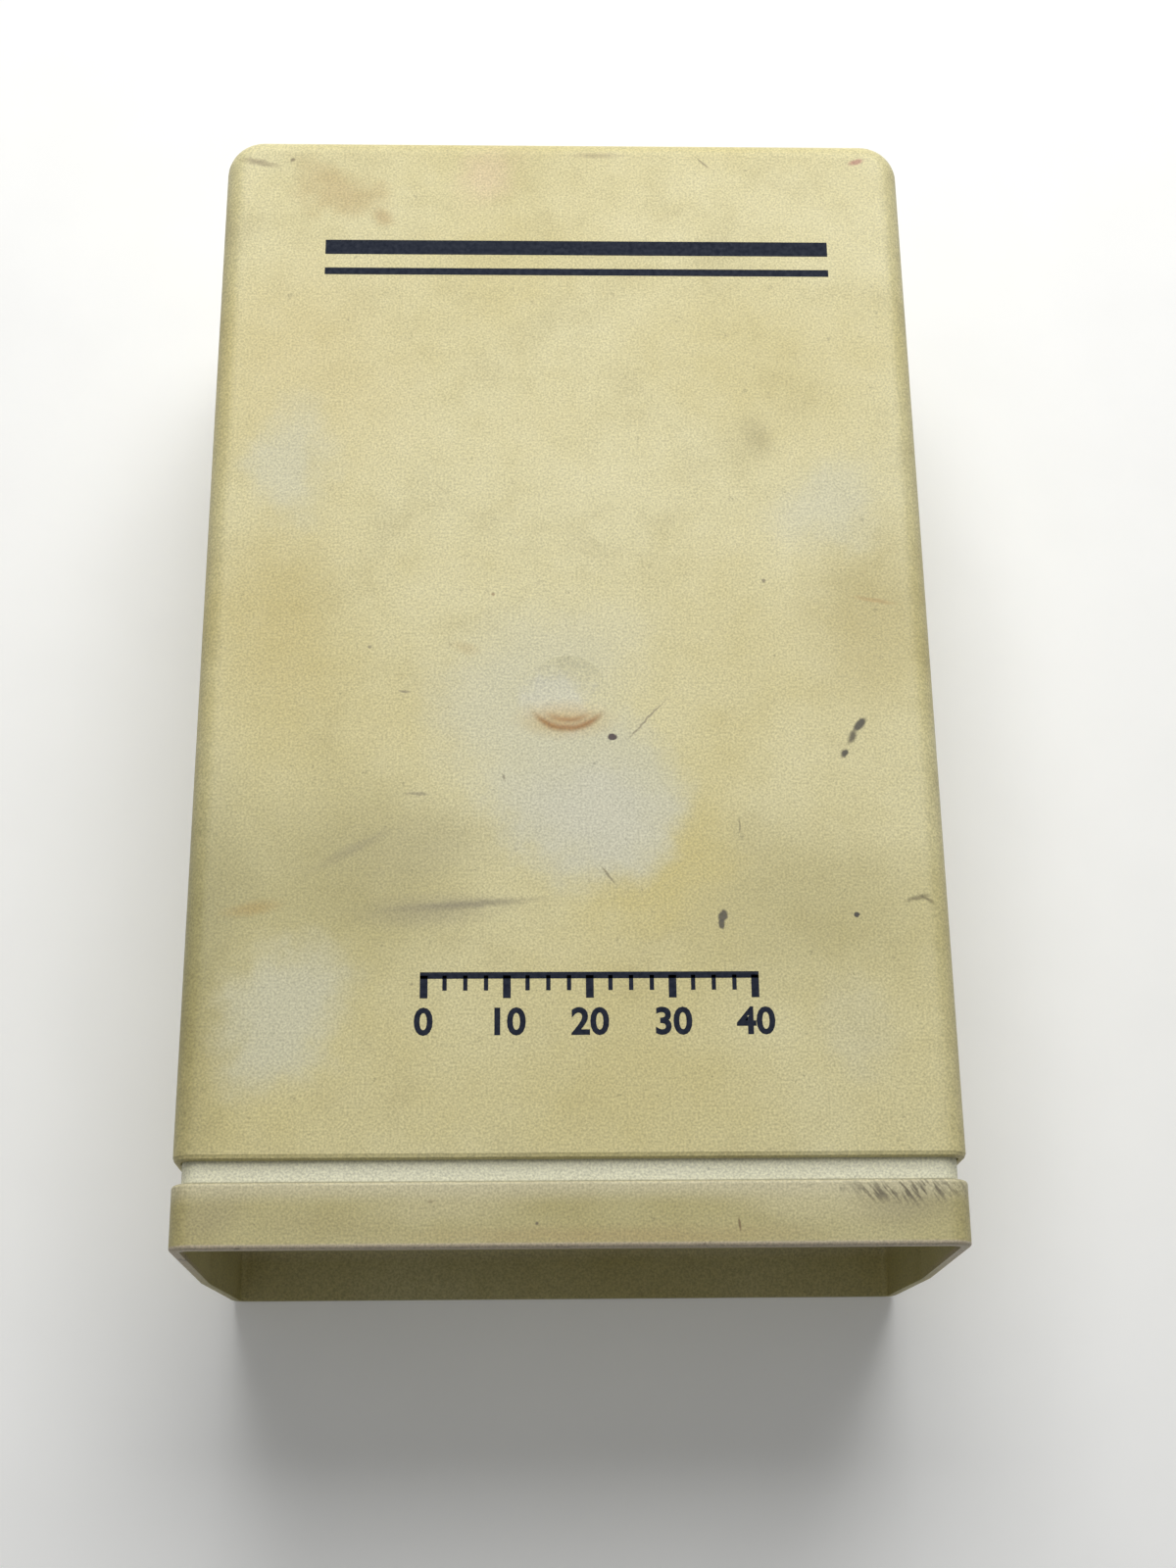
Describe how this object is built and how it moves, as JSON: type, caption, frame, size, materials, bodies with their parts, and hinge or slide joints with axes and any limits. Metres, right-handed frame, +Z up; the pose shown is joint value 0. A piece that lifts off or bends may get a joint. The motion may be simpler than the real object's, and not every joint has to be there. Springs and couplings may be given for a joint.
{
  "type": "pocket moisture meter",
  "caption": "Pocket moisture meter with sensing pins, readout and push-to-read key under a pull-off sleeve, and a battery drawer and probe socket in its open end.",
  "frame": {"origin": "on the table, under the middle of the meter as it lies face up with its sleeve drawn out a little", "axes": "+X across the meter, +Y towards the closed end of the sleeve and the sensing pins, +Z up out of the face"},
  "size_m": [0.08, 0.1296, 0.0415],
  "materials": {
    "aged_ivory_abs": "matte, yellowed",
    "pale_ivory_abs": "matte",
    "battery_jacket": "satin",
    "plated_steel": "satin",
    "brass": "satin",
    "nickel": "bright",
    "phenolic_sheet": "satin",
    "wire_insulation": "satin",
    "black_plastic": "satin",
    "label_film": "satin",
    "clear_window": "polished",
    "display_glass": "satin",
    "contact_rubber": "matte",
    "board_laminate": "satin",
    "capacitor_can": "satin",
    "resistor_lacquer": "gloss",
    "red_key": "satin"
  },
  "bodies": {
    "meter": {"upper_case": "aged_ivory_abs", "lower_case": "aged_ivory_abs", "end_panel": "pale_ivory_abs", "contact_plate": "phenolic_sheet", "battery_contacts": "brass", "battery_leads": "wire_insulation", "probe_jack": "black_plastic", "jack_nut": "nickel", "probe_leads": "wire_insulation", "face_label": "label_film", "display_window": "clear_window", "display_frame": "black_plastic", "display_glass": "display_glass", "contact_strips": "contact_rubber", "circuit_board": "board_laminate", "board_screws": "plated_steel", "case_screws": "plated_steel", "driver_chip": "black_plastic", "amplifier_chip": "black_plastic", "capacitors": "capacitor_can", "resistors": "resistor_lacquer", "key_switch": "black_plastic", "pin_block": "black_plastic", "pin_holders": "brass", "pin_nuts": "nickel", "electrode_pins": "plated_steel", "electrode_leads": "wire_insulation"},
    "sleeve": {"sleeve_cover": "aged_ivory_abs"},
    "read_key": {"key_cap": "red_key", "switch_plunger": "black_plastic"},
    "drawer": {"battery_drawer": "pale_ivory_abs", "battery": "battery_jacket", "battery_studs": "plated_steel"}
  },
  "joints": [
    {"name": "sleeve_slide", "type": "slide", "parent": "meter", "child": "sleeve", "axis": [0, 1, 0], "range_m": [-0.0021, 0.118]},
    {"name": "key_press", "type": "slide", "parent": "meter", "child": "read_key", "axis": [0, 0, -1], "range_m": [0, 0.001], "stiffness_N_per_m": 1500},
    {"name": "drawer_slide", "type": "slide", "parent": "meter", "child": "drawer", "axis": [0, -1, 0], "range_m": [0, 0.065]}
  ]
}
